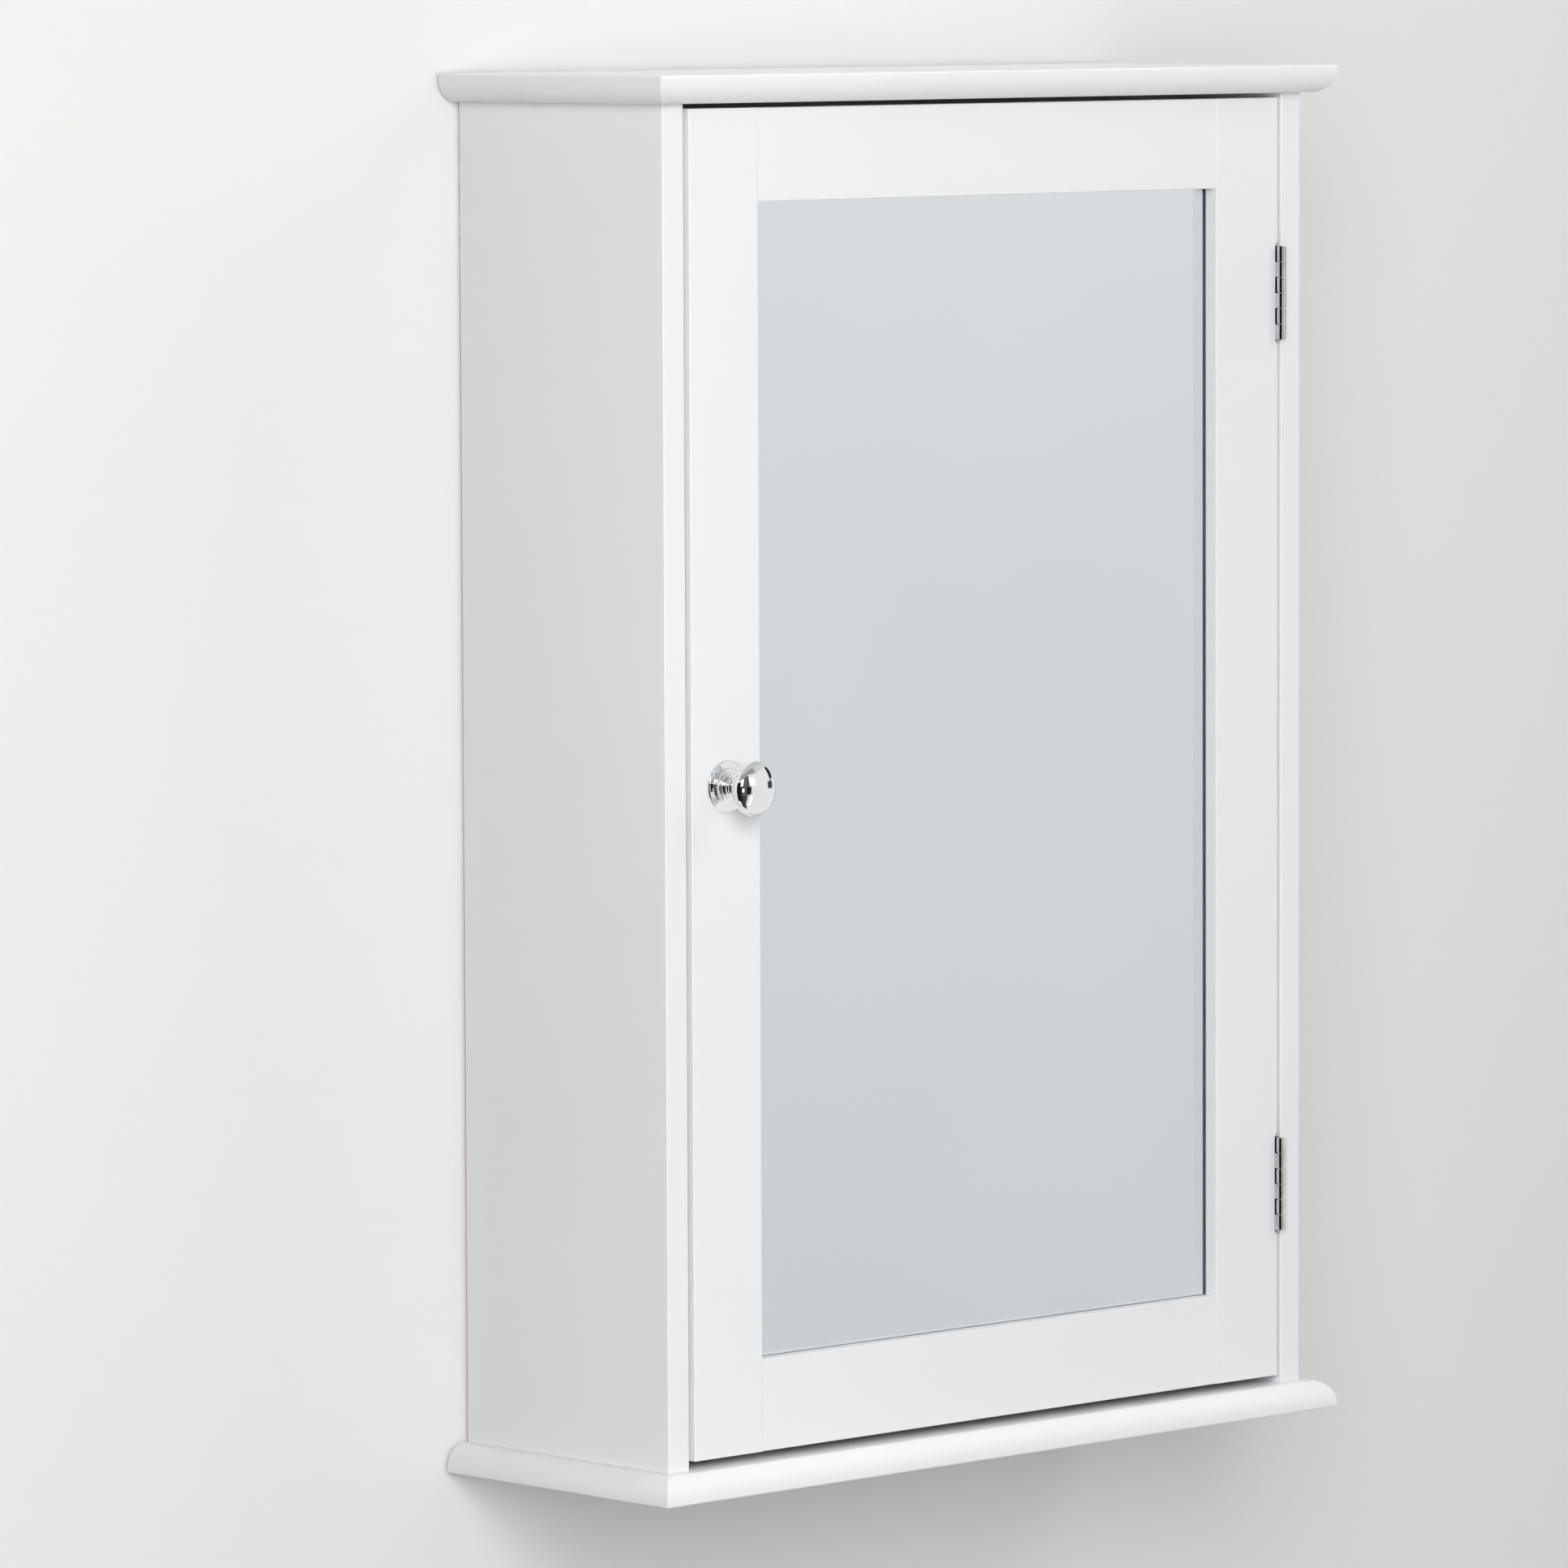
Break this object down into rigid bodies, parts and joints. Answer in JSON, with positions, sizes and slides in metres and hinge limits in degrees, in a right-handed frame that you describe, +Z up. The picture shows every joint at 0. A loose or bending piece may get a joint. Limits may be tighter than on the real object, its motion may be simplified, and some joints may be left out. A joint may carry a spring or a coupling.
{
  "type": "bathroom mirror cabinet",
  "caption": "White wall-hung bathroom cabinet with moulded top and bottom boards and a framed mirror door on butt hinges, opened by a turned chrome knob.",
  "frame": {"origin": "on the wall plane, midway between the two keyhole entry holes of the hanger plates", "axes": "+X right as seen from the front, +Y into the wall so the door faces -Y, +Z up"},
  "size_m": [0.41, 0.1509, 0.6],
  "materials": {
    "white_paint": "satin white paint on MDF",
    "back_board": "white-faced hardboard",
    "bare_wood": "bare fluted beech",
    "mirror": "silvered float glass",
    "chrome": "polished chrome plate",
    "plated_steel": "zinc plate",
    "white_plastic": "moulded, matt",
    "magnet": "dark sintered ferrite"
  },
  "bodies": {
    "cabinet": {"top_board": "white_paint", "bottom_board": "white_paint", "left_side_panel": "white_paint", "right_side_panel": "white_paint", "back_panel": "back_board", "upper_shelf": "white_paint", "lower_shelf": "white_paint", "shelf_pins": "plated_steel", "cam_nuts": "plated_steel", "cam_bolts": "plated_steel", "dowels": "bare_wood", "left_hanger_plate": "plated_steel", "right_hanger_plate": "plated_steel", "hanger_screws": "plated_steel", "catch_housing": "white_plastic", "catch_magnet": "magnet", "catch_pole_plates": "plated_steel", "catch_screws": "plated_steel", "upper_hinge_cabinet_leaf": "chrome", "lower_hinge_cabinet_leaf": "chrome", "upper_hinge_pin": "chrome", "lower_hinge_pin": "chrome", "hinge_cabinet_screws": "chrome"},
    "door": {"latch_stile": "white_paint", "hinge_stile": "white_paint", "top_rail": "white_paint", "bottom_rail": "white_paint", "rail_dowels": "bare_wood", "mirror_glass": "mirror", "mirror_backing": "back_board", "left_bead": "white_paint", "right_bead": "white_paint", "top_bead": "white_paint", "bottom_bead": "white_paint", "upper_hinge_door_leaf": "chrome", "lower_hinge_door_leaf": "chrome", "hinge_door_screws": "chrome", "knob": "chrome", "knob_rose": "chrome", "knob_screw": "plated_steel", "strike_plate": "plated_steel", "strike_screw": "plated_steel"}
  },
  "joints": [
    {"name": "door_swing", "type": "hinge", "parent": "cabinet", "child": "door", "pos_m": [0.179, -0.1299, -0.2392], "axis": [0, 0, 1], "range_deg": [0, 180]}
  ]
}
